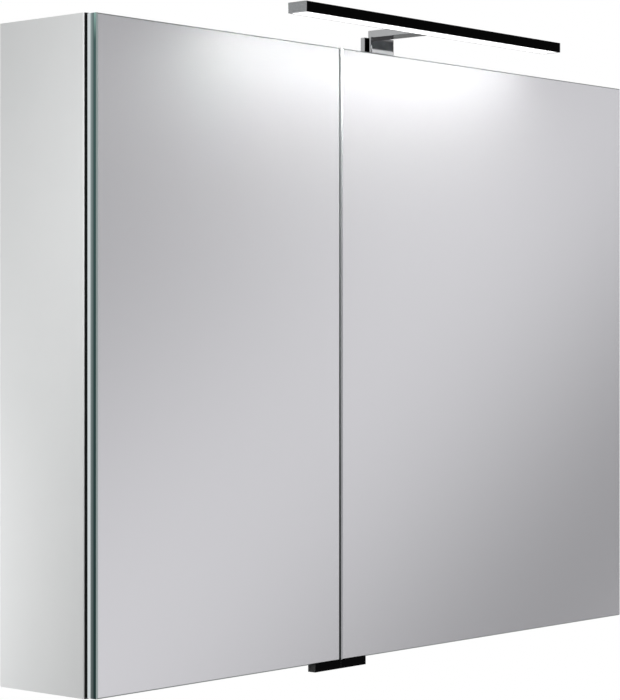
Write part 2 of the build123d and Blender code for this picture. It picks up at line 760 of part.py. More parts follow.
# Switch housing under the top panel, with two cheeks that carry the rocker
switch_rear = switch_front + switch_depth
housing = block((switch_left, switch_right), (switch_front, switch_rear), (switch_low, inner_top))
housing = fillet(housing.faces().sort_by(Axis.Z)[0].edges(), switch_edge_radius)
housing -= block(
    (switch_left + switch_wall, switch_right - switch_wall),
    (switch_front + switch_wall, switch_rear - switch_wall),
    (switch_low + switch_wall, inner_top),
)
rocker_y = switch_front + rocker_axis_depth
rocker_z = (switch_low + inner_top) / 2
cheek_near = rocker_width / 2 + rocker_side_gap
for inward in (-1, 1):
    housing += block(
        (switch_x + inward * cheek_near, switch_x + inward * (cheek_near + cheek_thickness)),
        (switch_front + switch_wall, rocker_y + trunnion_radius + cheek_margin),
        (switch_low + switch_wall, rocker_z + trunnion_radius + cheek_margin),
    )
    edge = switch_left if inward < 0 else switch_right
    foot_ends = (edge, edge + inward * switch_foot_length)
    housing += block(foot_ends, (switch_front, switch_rear), (inner_top - switch_wall, inner_top))
housing -= block(
    (switch_x - cheek_near, switch_x + cheek_near),
    (switch_front, switch_front + switch_wall),
    (rocker_z - rocker_height / 2 - rocker_end_gap, rocker_z + rocker_height / 2 + rocker_end_gap),
)
trunnion_end = rocker_width / 2 + rocker_side_gap + trunnion_length
housing -= rod(
    trunnion_radius + trunnion_fit,
    (switch_x - cheek_near - cheek_thickness, rocker_y, rocker_z),
    (switch_x + cheek_near + cheek_thickness, rocker_y, rocker_z),
)
for seat in switch_screw_seats:
    housing -= drill(seat, (0, 0, 1), wood_shank + screw_fit, switch_wall)
    length = switch_wall + wood_screw_grip
    fixing_screws.append(screw(seat, (0, 0, 1), wood_head, wood_head_height, wood_shank, length))
nodes["switch_housing"] = housing
nodes["fixing_screws"] = Compound(children=fixing_screws)

# Rocker with two tilted faces, resting tipped to its on side
dip = rocker_height / 2 * tan(radians(rocker_tilt))
profile_points = [
    (-rocker_front, rocker_height / 2),
    (-rocker_front + dip, 0),
    (-rocker_front, -rocker_height / 2),
    (rocker_rear, -rocker_rear_height / 2),
    (rocker_rear, rocker_rear_height / 2),
]
rocker_plane = Plane(origin=(-rocker_width / 2, 0, 0), x_dir=(0, 1, 0), z_dir=(1, 0, 0))
rocker = extrude(rocker_plane * make_face(Polyline(*profile_points, close=True)), rocker_width)
rocker += rod(trunnion_radius, (-trunnion_end, 0, 0), (trunnion_end, 0, 0))
nodes["switch_rocker"] = Pos(switch_x, rocker_y, rocker_z) * Rot(-rocker_tilt, 0, 0) * rocker

os.makedirs("parts", exist_ok=True)
for name, shape in nodes.items():
    export_step(shape, f"parts/{name}.step")
print(len(nodes), "nodes, doors reach", -door_front, "and lamp", -lamp_front, "from the wall")
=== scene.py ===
import bpy
import numpy as np
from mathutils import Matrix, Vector


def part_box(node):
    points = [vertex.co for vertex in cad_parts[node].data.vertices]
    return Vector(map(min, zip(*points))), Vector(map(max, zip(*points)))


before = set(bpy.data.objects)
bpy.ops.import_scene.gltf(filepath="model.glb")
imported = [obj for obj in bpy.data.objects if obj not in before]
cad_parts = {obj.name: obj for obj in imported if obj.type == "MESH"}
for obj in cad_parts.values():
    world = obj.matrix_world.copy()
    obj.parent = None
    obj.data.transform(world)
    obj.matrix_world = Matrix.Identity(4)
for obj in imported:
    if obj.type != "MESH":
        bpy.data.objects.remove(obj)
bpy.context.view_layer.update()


# Carcass boards: chipboard panels faced with white satin melamine, dowelled together.
# The melamine film has a fine pearl emboss, seen only as a soft break in the sheen.
# The front edge of each side, where the hinge sits, has a black edge band.
def colour(hex_code):
    """Linear colour for an sRGB hex code: each channel through the sRGB curve."""
    channels = np.array([int(hex_code[i:i + 2], 16) for i in (1, 3, 5)]) / 255
    low = channels / 12.92
    high = ((channels + 0.055) / 1.055) ** 2.4
    return (*np.where(channels <= 0.04045, low, high), 1.0)


def scale_for(millimetres):
    """Texture scale for features of this width: Object coordinates are in metres, so 1000 over it."""
    return 1000 / millimetres


def add_node(tree, kind, settings, links=()):
    """Adds one shader node, sets its options and socket values, and links what feeds it."""
    made = tree.nodes.new(kind)
    for name, value in settings.items():
        if isinstance(name, str) and hasattr(made, name):
            setattr(made, name, value)
        else:
            made.inputs[name].default_value = value
    for name, source in dict(links).items():
        tree.links.new(source, made.inputs[name])
    return made


def new_finish(name, surface):
    """Starts a material with one surface shader, whose constant values are given."""
    made = bpy.data.materials.new(name)
    made.use_nodes = True
    tree = made.node_tree
    tree.nodes.clear()
    shader = add_node(tree, "ShaderNodeBsdfPrincipled", surface)
    add_node(tree, "ShaderNodeOutputMaterial", {}, {"Surface": shader.outputs["BSDF"]})
    place = add_node(tree, "ShaderNodeTexCoord", {})
    return made, tree, shader, place


def dress(finish, *names):
    """Gives a finish to CAD nodes, in every material slot they have."""
    for name in names:
        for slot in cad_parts[name].material_slots:
            slot.material = finish


# A Mix node's colour sockets are found by number, because its other sockets share their names.
mix_share, lower_colour, upper_colour, mixed_colour = 0, 6, 7, 2
cloud_width = 90  # mm
emboss_width = 1.6  # mm
emboss_depth = 0.0001
band_turn = -0.62  # the band is on faces whose normal has a lower Y than this
side_inner_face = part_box("side_panel_right")[0].x
melamine, tree, shader, place = new_finish("white_satin_melamine", {"IOR": 1.5, "Specular IOR Level": 0.2})
cloud = add_node(
    tree,
    "ShaderNodeTexNoise",
    {"Scale": scale_for(cloud_width), "Detail": 3},
    {"Vector": place.outputs["Object"]},
)
tone = add_node(tree, "ShaderNodeValToRGB", {}, {"Fac": cloud.outputs["Fac"]})
tone.color_ramp.elements[0].color = colour("#e2e4e4")
tone.color_ramp.elements[1].color = colour("#e8e9e9")
emboss = add_node(
    tree,
    "ShaderNodeTexNoise",
    {"Scale": scale_for(emboss_width), "Detail": 2},
    {"Vector": place.outputs["Object"]},
)
sheen = add_node(
    tree, "ShaderNodeMapRange", {"To Min": 0.38, "To Max": 0.48}, {"Value": emboss.outputs["Fac"]}
)
relief = add_node(
    tree, "ShaderNodeBump", {"Strength": 0.12, "Distance": emboss_depth}, {"Height": emboss.outputs["Fac"]}
)
facing = add_node(tree, "ShaderNodeSeparateXYZ", {}, {"Vector": place.outputs["Normal"]})
where = add_node(tree, "ShaderNodeSeparateXYZ", {}, {"Vector": place.outputs["Object"]})
outward = add_node(tree, "ShaderNodeMath", {"operation": "ABSOLUTE"}, {0: where.outputs["X"]})
on_side = add_node(
    tree, "ShaderNodeMath", {"operation": "GREATER_THAN", 1: side_inner_face}, {0: outward.outputs["Value"]}
)
forward = add_node(
    tree, "ShaderNodeMath", {"operation": "LESS_THAN", 1: band_turn}, {0: facing.outputs["Y"]}
)
banded = add_node(
    tree,
    "ShaderNodeMath",
    {"operation": "MULTIPLY"},
    {0: on_side.outputs["Value"], 1: forward.outputs["Value"]},
)
skin = add_node(
    tree,
    "ShaderNodeMix",
    {"data_type": "RGBA", upper_colour: colour("#050505")},
    {mix_share: banded.outputs["Value"], lower_colour: tone.outputs["Color"]},
)
tree.links.new(skin.outputs[mixed_colour], shader.inputs["Base Color"])
tree.links.new(sheen.outputs["Result"], shader.inputs["Roughness"])
tree.links.new(relief.outputs["Normal"], shader.inputs["Normal"])
dress(melamine, "side_panel_left", "side_panel_right", "top_panel", "bottom_panel")
dress(melamine, "divider_panel", "back_panel")


# Dowels: turned beech pegs, glued into blind holes in the boards.
# The grain runs along each peg as short darker flecks.
fleck_width = 0.8  # mm
fleck_stretch = (0.15, 1, 1)
beech, tree, shader, place = new_finish("turned_beech", {"IOR": 1.5, "Roughness": 0.6})
along = add_node(tree, "ShaderNodeMapping", {"Scale": fleck_stretch}, {"Vector": place.outputs["Object"]})
fleck = add_node(
    tree,
    "ShaderNodeTexNoise",
    {"Scale": scale_for(fleck_width), "Detail": 4},
    {"Vector": along.outputs["Vector"]},
)
tone = add_node(tree, "ShaderNodeValToRGB", {}, {"Fac": fleck.outputs["Fac"]})
tone.color_ramp.elements[0].color = colour("#b98f62")
tone.color_ramp.elements[1].color = colour("#dcbd93")
tree.links.new(tone.outputs["Color"], shader.inputs["Base Color"])
dress(beech, "carcass_dowels")


# Shelves: clear float glass with ground edges, lying loose on their pins.
# Through the sheet the glass looks clear, and along its edges it looks green.
shelf_wipe_width = 25  # mm
shelf_glass, tree, shader, place = new_finish(
    "clear_float_glass", {"IOR": 1.52, "Transmission Weight": 1.0}
)
facing = add_node(tree, "ShaderNodeSeparateXYZ", {}, {"Vector": place.outputs["Normal"]})
flat = add_node(tree, "ShaderNodeMath", {"operation": "ABSOLUTE"}, {0: facing.outputs["Z"]})
tint = add_node(tree, "ShaderNodeValToRGB", {}, {"Fac": flat.outputs["Value"]})
tint.color_ramp.elements[0].color = colour("#8fc4b4")
tint.color_ramp.elements[1].color = colour("#f4fbf8")
wiped = add_node(
    tree,
    "ShaderNodeTexNoise",
    {"Scale": scale_for(shelf_wipe_width), "Detail": 5},
    {"Vector": place.outputs["Object"]},
)
smear = add_node(
    tree, "ShaderNodeMapRange", {"To Min": 0.0, "To Max": 0.05}, {"Value": wiped.outputs["Fac"]}
)
tree.links.new(tint.outputs["Color"], shader.inputs["Base Color"])
tree.links.new(smear.outputs["Result"], shader.inputs["Roughness"])
dress(shelf_glass, *(f"shelf_{bay}_{level}" for bay in ("left", "right") for level in ("lower", "upper")))


# Small steel: shelf pins, hooks, wall plates, fixing screws, strike plates and catch magnets.
# Zinc plating leaves a cool grey with faint warm and blue patches and a fine grain.
patch_width = 12  # mm
plating_grain = 0.5  # mm, drawn coarser than it is so that it shows
zinc, tree, shader, place = new_finish("zinc_plated_steel", {"Metallic": 1.0})
patch = add_node(
    tree,
    "ShaderNodeTexNoise",
    {"Scale": scale_for(patch_width), "Detail": 4},
    {"Vector": place.outputs["Object"]},
)
tone = add_node(tree, "ShaderNodeValToRGB", {}, {"Fac": patch.outputs["Fac"]})
tone.color_ramp.elements[0].position = 0.35
tone.color_ramp.elements[0].color = colour("#a9b0b8")
tone.color_ramp.elements[1].position = 0.65
tone.color_ramp.elements[1].color = colour("#c9c8c2")
grain = add_node(
    tree,
    "ShaderNodeTexNoise",
    {"Scale": scale_for(plating_grain), "Detail": 2},
    {"Vector": place.outputs["Object"]},
)
sheen = add_node(
    tree, "ShaderNodeMapRange", {"To Min": 0.25, "To Max": 0.45}, {"Value": grain.outputs["Fac"]}
)
tree.links.new(tone.outputs["Color"], shader.inputs["Base Color"])
tree.links.new(sheen.outputs["Result"], shader.inputs["Roughness"])
dress(zinc, "shelf_pins", "hanger_hook_left", "hanger_hook_right", "wall_plate_left", "wall_plate_right")
dress(zinc, "hanger_screws", "fixing_screws", "lamp_screws", "bracket_screws")
dress(zinc, "strike_plate_left", "strike_plate_right", "catch_magnets")


# Hangers and magnet catches: moulded nylon blocks, screwed to the boards.
# The mould was spark eroded, which leaves an even fine matt texture.
def mottle(tree, shader, pattern, tones, roughness):
    """Varies a finish with a pattern, from its first tone and roughness to its second.

    Returns the node of the tones, for a finish that lays another colour over them.
    """
    tone = add_node(tree, "ShaderNodeValToRGB", {}, {"Fac": pattern})
    for stop, hex_code in zip(tone.color_ramp.elements, tones):
        stop.color = colour(hex_code)
    first, second = roughness
    sheen = add_node(tree, "ShaderNodeMapRange", {"To Min": first, "To Max": second}, {"Value": pattern})
    tree.links.new(tone.outputs["Color"], shader.inputs["Base Color"])
    tree.links.new(sheen.outputs["Result"], shader.inputs["Roughness"])
    return tone


nylon_pit_width = 0.7  # mm, drawn coarser than it is so that it shows
nylon_pit_depth = 0.0001
nylon, tree, shader, place = new_finish("moulded_white_nylon", {"IOR": 1.53})
texture = add_node(
    tree, "ShaderNodeTexVoronoi", {"Scale": scale_for(nylon_pit_width)}, {"Vector": place.outputs["Object"]}
)
mottle(tree, shader, texture.outputs["Distance"], tones=("#dcdddc", "#e6e7e6"), roughness=(0.5, 0.62))
relief = add_node(
    tree,
    "ShaderNodeBump",
    {"Strength": 0.2, "Distance": nylon_pit_depth},
    {"Height": texture.outputs["Distance"]},
)
tree.links.new(relief.outputs["Normal"], shader.inputs["Normal"])
dress(nylon, "hanger_left", "hanger_right", "magnet_catch_left", "magnet_catch_right")


# Hinges: continuous steel hinges, rolled and black coated, in the gap behind each door.
# The coating is a thin matt film, a little greyer where the grain of the steel lifts it.
# Their pins and screws, the screws of the doors and the cable gland are black as well.
coat_grain = 0.6  # mm, drawn coarser than it is so that it shows
black_coat, tree, shader, place = new_finish(
    "black_coated_steel", {"IOR": 1.5, "Specular IOR Level": 0.06}
)
grain = add_node(
    tree,
    "ShaderNodeTexNoise",
    {"Scale": scale_for(coat_grain), "Detail": 3},
    {"Vector": place.outputs["Object"]},
)
mottle(tree, shader, grain.outputs["Fac"], tones=("#060606", "#101011"), roughness=(0.45, 0.6))
for side in ("left", "right"):
    dress(black_coat, f"hinge_leaf_fixed_{side}", f"hinge_leaf_moving_{side}", f"door_screws_{side}")
dress(black_coat, "hinge_pins", "hinge_screws", "driver_gland")


# Door frames: extruded aluminium bars, anodised in natural silver, behind the glass.
# Extrusion leaves fine lines along the bars, and anodising makes them softly bright.
frame_line_width = 0.5  # mm, drawn coarser than they are so that they show
frame_line_stretch = (1, 1, 0.02)
anodised, tree, shader, place = new_finish("silver_anodised_aluminium", {"Metallic": 1.0})
along = add_node(
    tree, "ShaderNodeMapping", {"Scale": frame_line_stretch}, {"Vector": place.outputs["Object"]}
)
lines = add_node(
    tree,
    "ShaderNodeTexNoise",
    {"Scale": scale_for(frame_line_width), "Detail": 3},
    {"Vector": along.outputs["Vector"]},
)
mottle(tree, shader, lines.outputs["Fac"], tones=("#c9d0d2", "#d3d9db"), roughness=(0.28, 0.4))
dress(anodised, "door_frame_left", "door_frame_right")


# Inner mirrors: silvered glass with the bright side to the inside of the cabinet.
# The ground edge is grey green and paler towards the frame, with a painted shade
# that makes it darker lower down, and the face shows faint wiping.
inner_face_from, inner_face_to = 0.5, 0.6  # how squarely a face looks forward or back
foot_shade = 0.6
ground_roughness = 0.35
mirror_wipe_width = 40  # mm
glass_low, glass_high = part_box("mirror_inner_left")
silver_back, tree, shader, place = new_finish("silvered_glass_inside", {"Metallic": 1.0})
facing = add_node(tree, "ShaderNodeSeparateXYZ", {}, {"Vector": place.outputs["Normal"]})
flat = add_node(tree, "ShaderNodeMath", {"operation": "ABSOLUTE"}, {0: facing.outputs["Y"]})
face = add_node(
    tree,
    "ShaderNodeMapRange",
    {"From Min": inner_face_from, "From Max": inner_face_to},
    {"Value": flat.outputs["Value"]},
)
where = add_node(tree, "ShaderNodeSeparateXYZ", {}, {"Vector": place.outputs["Object"]})
across = add_node(
    tree,
    "ShaderNodeMapRange",
    {"From Min": glass_low.y, "From Max": glass_high.y},
    {"Value": where.outputs["Y"]},
)
edge = add_node(tree, "ShaderNodeValToRGB", {}, {"Fac": across.outputs["Result"]})
edge.color_ramp.elements[0].color = colour("#4c5d5d")
edge.color_ramp.elements[1].color = colour("#9aa8a7")
# Painted shade: the edge darkens towards its foot.
inner_painted_shade = add_node(
    tree,
    "ShaderNodeMapRange",
    {"From Min": glass_low.z, "From Max": glass_high.z, "To Min": foot_shade, "To Max": 0.0},
    {"Value": where.outputs["Z"]},
)
ground = add_node(
    tree,
    "ShaderNodeMix",
    {"data_type": "RGBA", upper_colour: colour("#161f1f")},
    {mix_share: inner_painted_shade.outputs["Result"], lower_colour: edge.outputs["Color"]},
)
tone = add_node(
    tree,
    "ShaderNodeMix",
    {"data_type": "RGBA", upper_colour: colour("#eef2f1")},
    {mix_share: face.outputs["Result"], lower_colour: ground.outputs[mixed_colour]},
)
wiped = add_node(
    tree,
    "ShaderNodeTexNoise",
    {"Scale": scale_for(mirror_wipe_width), "Detail": 5},
    {"Vector": place.outputs["Object"]},
)
smear = add_node(
    tree, "ShaderNodeMapRange", {"To Min": 0.015, "To Max": 0.035}, {"Value": wiped.outputs["Fac"]}
)
sheen = add_node(
    tree,
    "ShaderNodeMapRange",
    {"To Min": ground_roughness},
    {"Value": face.outputs["Result"], "To Max": smear.outputs["Result"]},
)
tree.links.new(tone.outputs[mixed_colour], shader.inputs["Base Color"])
tree.links.new(sheen.outputs["Result"], shader.inputs["Roughness"])
dress(silver_back, "mirror_inner_left", "mirror_inner_right")


# Outer mirrors: silvered float glass with a narrow ground bevel, glued to the inner ones.
# The face is a mirror under a thin haze that catches the lamp, and the bevel is pale green
# at the sides, with painted shade greying it at top and bottom. The edge is deep green,
# with painted shade darkening it lower down and painted light near the top.
bevel_from, bevel_to = 0.3, 0.4  # how squarely the bevel looks forward
outer_face_from, outer_face_to = 0.85, 0.95  # how squarely the face does
gap_reach = 0.2  # the gap between the doors is nearer to the middle than this
end_turn = 0.5  # an upright edge faces sideways by more than this
door_low, door_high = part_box("mirror_outer_left")
silver_front, tree, shader, place = new_finish(
    "silvered_bevelled_glass", {"Specular IOR Level": 0.1, "Coat Roughness": 0.7, "Coat IOR": 1.5}
)
facing = add_node(tree, "ShaderNodeSeparateXYZ", {}, {"Vector": place.outputs["Normal"]})
flat = add_node(tree, "ShaderNodeMath", {"operation": "ABSOLUTE"}, {0: facing.outputs["Y"]})
up_or_down = add_node(tree, "ShaderNodeMath", {"operation": "ABSOLUTE"}, {0: facing.outputs["Z"]})
sideways = add_node(tree, "ShaderNodeMath", {"operation": "ABSOLUTE"}, {0: facing.outputs["X"]})
front = add_node(
    tree,
    "ShaderNodeMapRange",
    {"From Min": bevel_from, "From Max": bevel_to},
    {"Value": flat.outputs["Value"]},
)
face = add_node(
    tree,
    "ShaderNodeMapRange",
    {"From Min": outer_face_from, "From Max": outer_face_to},
    {"Value": flat.outputs["Value"]},
)
where = add_node(tree, "ShaderNodeSeparateXYZ", {}, {"Vector": place.outputs["Object"]})
height = add_node(
    tree,
    "ShaderNodeMapRange",
    {"From Min": door_low.z, "From Max": door_high.z},
    {"Value": where.outputs["Z"]},
)
# Painted light and shade: the edge is lighter near the top and darker lower down.
edge = add_node(tree, "ShaderNodeValToRGB", {}, {"Fac": height.outputs["Result"]})
edge.color_ramp.elements[0].color = colour("#1b3231")
edge.color_ramp.elements[1].color = colour("#8aaaa3")
middle = edge.color_ramp.elements.new(0.5)
middle.color = colour("#2b4241")
near_top = edge.color_ramp.elements.new(0.96)
near_top.color = colour("#425c5a")
# The two edges that meet in the gap between the doors are matt, with a grey bevel.
# Their colour is painted light and shade: pale near the top, dark lower down.
gap_painted_light = add_node(tree, "ShaderNodeValToRGB", {}, {"Fac": height.outputs["Result"]})
gap_painted_light.color_ramp.elements[0].color = colour("#484d4d")
gap_painted_light.color_ramp.elements[1].color = colour("#d4d8d8")
gap_middle = gap_painted_light.color_ramp.elements.new(0.5)
gap_middle.color = colour("#989c9c")
outward = add_node(tree, "ShaderNodeMath", {"operation": "ABSOLUTE"}, {0: where.outputs["X"]})
central = add_node(
    tree, "ShaderNodeMath", {"operation": "LESS_THAN", 1: gap_reach}, {0: outward.outputs["Value"]}
)
on_end = add_node(
    tree, "ShaderNodeMath", {"operation": "GREATER_THAN", 1: end_turn}, {0: sideways.outputs["Value"]}
)
by_gap = add_node(
    tree,
    "ShaderNodeMath",
    {"operation": "MULTIPLY"},
    {0: central.outputs["Value"], 1: on_end.outputs["Value"]},
)
ground = add_node(
    tree,
    "ShaderNodeMix",
    {"data_type": "RGBA"},
    {
        mix_share: by_gap.outputs["Value"],
        lower_colour: edge.outputs["Color"],
        upper_colour: gap_painted_light.outputs["Color"],
    },
)
silvered = add_node(
    tree, "ShaderNodeMath", {"operation": "SUBTRACT", 0: 1.0}, {1: by_gap.outputs["Value"]}
)
metal = add_node(
    tree,
    "ShaderNodeMath",
    {"operation": "MAXIMUM"},
    {0: silvered.outputs["Value"], 1: front.outputs["Result"]},
)
# Painted shade: the bevel greys where it faces up or down.
painted_bevel_shade = add_node(tree, "ShaderNodeValToRGB", {}, {"Fac": up_or_down.outputs["Value"]})
painted_bevel_shade.color_ramp.elements[0].color = colour("#b3c2bf")
painted_bevel_shade.color_ramp.elements[1].position = 0.6
painted_bevel_shade.color_ramp.elements[1].color = colour("#666b6b")
slope = add_node(
    tree,
    "ShaderNodeMix",
    {"data_type": "RGBA", upper_colour: colour("#babcbe")},
    {mix_share: by_gap.outputs["Value"], lower_colour: painted_bevel_shade.outputs["Color"]},
)
silver = add_node(
    tree,
    "ShaderNodeMix",
    {"data_type": "RGBA", upper_colour: colour("#eff0f2")},
    {mix_share: face.outputs["Result"], lower_colour: slope.outputs[mixed_colour]},
)
tone = add_node(
    tree,
    "ShaderNodeMix",
    {"data_type": "RGBA"},
    {
        mix_share: front.outputs["Result"],
        lower_colour: ground.outputs[mixed_colour],
        upper_colour: silver.outputs[mixed_colour],
    },
)
wiped = add_node(
    tree,
    "ShaderNodeTexNoise",
    {"Scale": scale_for(mirror_wipe_width), "Detail": 5},
    {"Vector": place.outputs["Object"]},
)
smear = add_node(
    tree, "ShaderNodeMapRange", {"To Min": 0.96, "To Max": 1.0}, {"Value": wiped.outputs["Fac"]}
)
haze = add_node(
    tree,
    "ShaderNodeMath",
    {"operation": "MULTIPLY"},
    {0: face.outputs["Result"], 1: smear.outputs["Result"]},
)
sheen = add_node(
    tree, "ShaderNodeMapRange", {"To Min": 0.3, "To Max": 0.0}, {"Value": face.outputs["Result"]}
)
tree.links.new(tone.outputs[mixed_colour], shader.inputs["Base Color"])
tree.links.new(sheen.outputs["Result"], shader.inputs["Roughness"])
tree.links.new(haze.outputs["Value"], shader.inputs["Coat Weight"])
tree.links.new(metal.outputs["Value"], shader.inputs["Metallic"])
dress(silver_front, "mirror_outer_left", "mirror_outer_right")


# Pulls: black anodised bars screwed under the doors, one half to each door.
# The anodised skin is matt, with fine lines along the bar, and the sawn ends are greyer.
bar_line_width = 0.5  # mm, drawn coarser than they are so that they show
bar_line_stretch = (0.03, 1, 1)
sawn_from, sawn_to = 0.8, 0.95  # how squarely an end looks sideways
black_bar, tree, shader, place = new_finish(
    "black_anodised_bar", {"IOR": 1.5, "Specular IOR Level": 0.01}
)
along = add_node(
    tree, "ShaderNodeMapping", {"Scale": bar_line_stretch}, {"Vector": place.outputs["Object"]}
)
lines = add_node(
    tree,
    "ShaderNodeTexNoise",
    {"Scale": scale_for(bar_line_width), "Detail": 3},
    {"Vector": along.outputs["Vector"]},
)
tone = mottle(tree, shader, lines.outputs["Fac"], tones=("#030304", "#09090a"), roughness=(0.4, 0.55))
facing = add_node(tree, "ShaderNodeSeparateXYZ", {}, {"Vector": place.outputs["Normal"]})
sideways = add_node(tree, "ShaderNodeMath", {"operation": "ABSOLUTE"}, {0: facing.outputs["X"]})
sawn = add_node(
    tree,
    "ShaderNodeMapRange",
    {"From Min": sawn_from, "From Max": sawn_to},
    {"Value": sideways.outputs["Value"]},
)
skin = add_node(
    tree,
    "ShaderNodeMix",
    {"data_type": "RGBA", upper_colour: colour("#484848")},
    {mix_share: sawn.outputs["Result"], lower_colour: tone.outputs["Color"]},
)
tree.links.new(skin.outputs[mixed_colour], shader.inputs["Base Color"])
dress(black_bar, "door_pull_left", "door_pull_right")


# Bumpers: clear soft rubber pads stuck to the backs of the doors.
# They look milky, with a slightly rough skin.
rubber_grain = 0.8  # mm, drawn coarser than it is so that it shows
rubber, tree, shader, place = new_finish(
    "milky_soft_rubber", {"IOR": 1.45, "Subsurface Weight": 0.3, "Subsurface Scale": 0.002}
)
skin = add_node(
    tree,
    "ShaderNodeTexNoise",
    {"Scale": scale_for(rubber_grain), "Detail": 3},
    {"Vector": place.outputs["Object"]},
)
mottle(tree, shader, skin.outputs["Fac"], tones=("#c2c6c8", "#d2d5d6"), roughness=(0.4, 0.55))
dress(rubber, "door_bumpers_left", "door_bumpers_right")


# Lamp bracket: cast zinc, polished and chrome plated, screwed to the top panel.
# Chrome mirrors the room a shade darker than it is, with faint polishing waves.
# The underside and the slot behind the leg are painted near black: a painted shade, as if in shadow.
wave_width = 9  # mm
under_turn = -0.7  # the underside is where the normal has a lower Z than this
slot_turn = -0.7  # the slot's back looks forward, with a lower Y than this
slot_slack = 0.0005  # the slot begins this far in front of the plate
plate_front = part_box("lamp_plate")[0].y
chrome, tree, shader, place = new_finish(
    "polished_chrome_plate", {"Metallic": 1.0, "Specular Tint": colour("#a0a0a0")}
)
wave = add_node(
    tree,
    "ShaderNodeTexNoise",
    {"Scale": scale_for(wave_width), "Detail": 2},
    {"Vector": place.outputs["Object"]},
)
tone = mottle(tree, shader, wave.outputs["Fac"], tones=("#a1a2a3", "#abacad"), roughness=(0.04, 0.1))
facing = add_node(tree, "ShaderNodeSeparateXYZ", {}, {"Vector": place.outputs["Normal"]})
under = add_node(
    tree, "ShaderNodeMath", {"operation": "LESS_THAN", 1: under_turn}, {0: facing.outputs["Z"]}
)
where = add_node(tree, "ShaderNodeSeparateXYZ", {}, {"Vector": place.outputs["Object"]})
set_back = add_node(
    tree,
    "ShaderNodeMath",
    {"operation": "GREATER_THAN", 1: plate_front - slot_slack},
    {0: where.outputs["Y"]},
)
forward = add_node(
    tree, "ShaderNodeMath", {"operation": "LESS_THAN", 1: slot_turn}, {0: facing.outputs["Y"]}
)
in_slot = add_node(
    tree,
    "ShaderNodeMath",
    {"operation": "MULTIPLY"},
    {0: set_back.outputs["Value"], 1: forward.outputs["Value"]},
)
# Painted shade: the underside and the slot behind the leg turn near black.
painted_shade_mask = add_node(
    tree,
    "ShaderNodeMath",
    {"operation": "MAXIMUM"},
    {0: under.outputs["Value"], 1: in_slot.outputs["Value"]},
)
plated = add_node(
    tree,
    "ShaderNodeMix",
    {"data_type": "RGBA", upper_colour: colour("#0c0c0d")},
    {mix_share: painted_shade_mask.outputs["Value"], lower_colour: tone.outputs["Color"]},
)
tree.links.new(plated.outputs[mixed_colour], shader.inputs["Base Color"])
dress(chrome, "lamp_plate", "lamp_arm")


# Lamp body: an extruded aluminium channel, black enamelled.
# The enamel is a deep black with a low even sheen and a faint grain.
# The back, where the bracket is screwed on, is left grey.
enamel_grain = 1.2  # mm
back_turn = 0.7  # the back is where the normal has a higher Y than this
enamel, tree, shader, place = new_finish(
    "black_lamp_enamel", {"IOR": 1.5, "Specular IOR Level": 0.005}
)
grain = add_node(
    tree,
    "ShaderNodeTexNoise",
    {"Scale": scale_for(enamel_grain), "Detail": 3},
    {"Vector": place.outputs["Object"]},
)
tone = mottle(tree, shader, grain.outputs["Fac"], tones=("#020202", "#060606"), roughness=(0.4, 0.5))
facing = add_node(tree, "ShaderNodeSeparateXYZ", {}, {"Vector": place.outputs["Normal"]})
behind = add_node(
    tree, "ShaderNodeMath", {"operation": "GREATER_THAN", 1: back_turn}, {0: facing.outputs["Y"]}
)
coat = add_node(
    tree,
    "ShaderNodeMix",
    {"data_type": "RGBA", upper_colour: colour("#5e6062")},
    {mix_share: behind.outputs["Value"], lower_colour: tone.outputs["Color"]},
)
tree.links.new(coat.outputs[mixed_colour], shader.inputs["Base Color"])
dress(enamel, "lamp_profile")


# Lamp end caps: aluminium plugs, bead blasted and anodised, pushed into the channel.
# The blasting gives a fine sparkle of lighter and darker grey.
blast_width = 0.6  # mm, drawn coarser than it is so that it shows
blasted, tree, shader, place = new_finish("blasted_anodised_aluminium", {"Metallic": 0.6})
spark = add_node(
    tree, "ShaderNodeTexVoronoi", {"Scale": scale_for(blast_width)}, {"Vector": place.outputs["Object"]}
)
tone = add_node(tree, "ShaderNodeValToRGB", {}, {"Fac": spark.outputs["Color"]})
tone.color_ramp.elements[0].color = colour("#7d7f80")
tone.color_ramp.elements[1].color = colour("#a4a6a7")
sheen = add_node(
    tree, "ShaderNodeMapRange", {"To Min": 0.35, "To Max": 0.55}, {"Value": spark.outputs["Distance"]}
)
tree.links.new(tone.outputs["Color"], shader.inputs["Base Color"])
tree.links.new(sheen.outputs["Result"], shader.inputs["Roughness"])
dress(blasted, "lamp_end_cap_left", "lamp_end_cap_right")


# Diffuser: a strip of opal acrylic slid into the channel, lit from above by the light strip.
# It glows evenly, a trace less bright between the diodes behind it.
diode_pitch = 20.2  # mm
stripe_period = np.pi / 10  # a Wave texture's own period at scale 1
opal, tree, shader, place = new_finish(
    "opal_acrylic_lit",
    {
        "IOR": 1.49,
        "Roughness": 0.35,
        "Base Color": colour("#f2f3f2"),
        "Emission Color": colour("#ffffff"),
    },
)
pulse = add_node(
    tree,
    "ShaderNodeTexWave",
    {"Scale": scale_for(diode_pitch) * stripe_period, "Distortion": 0.0},
    {"Vector": place.outputs["Object"]},
)
glow = add_node(
    tree, "ShaderNodeMapRange", {"To Min": 0.9, "To Max": 0.97}, {"Value": pulse.outputs["Fac"]}
)
tree.links.new(glow.outputs["Result"], shader.inputs["Emission Strength"])
dress(opal, "lamp_diffuser")


# Circuit boards: glass fibre laminate under a white solder mask, in the driver and in the lamp.
# Copper tracks show through the mask as a slightly darker grid of lines.
track_pitch = 5  # mm
laminate, tree, shader, place = new_finish("white_masked_laminate", {"IOR": 1.55, "Roughness": 0.35})
tracks = add_node(
    tree,
    "ShaderNodeTexBrick",
    {
        "Scale": scale_for(track_pitch),
        "Color1": colour("#e5e7e2"),
        "Color2": colour("#e2e4df"),
        "Mortar": colour("#cfd1c8"),
    },
    {"Vector": place.outputs["Object"]},
)
tree.links.new(tracks.outputs["Color"], shader.inputs["Base Color"])
dress(laminate, "driver_board", "led_strip")


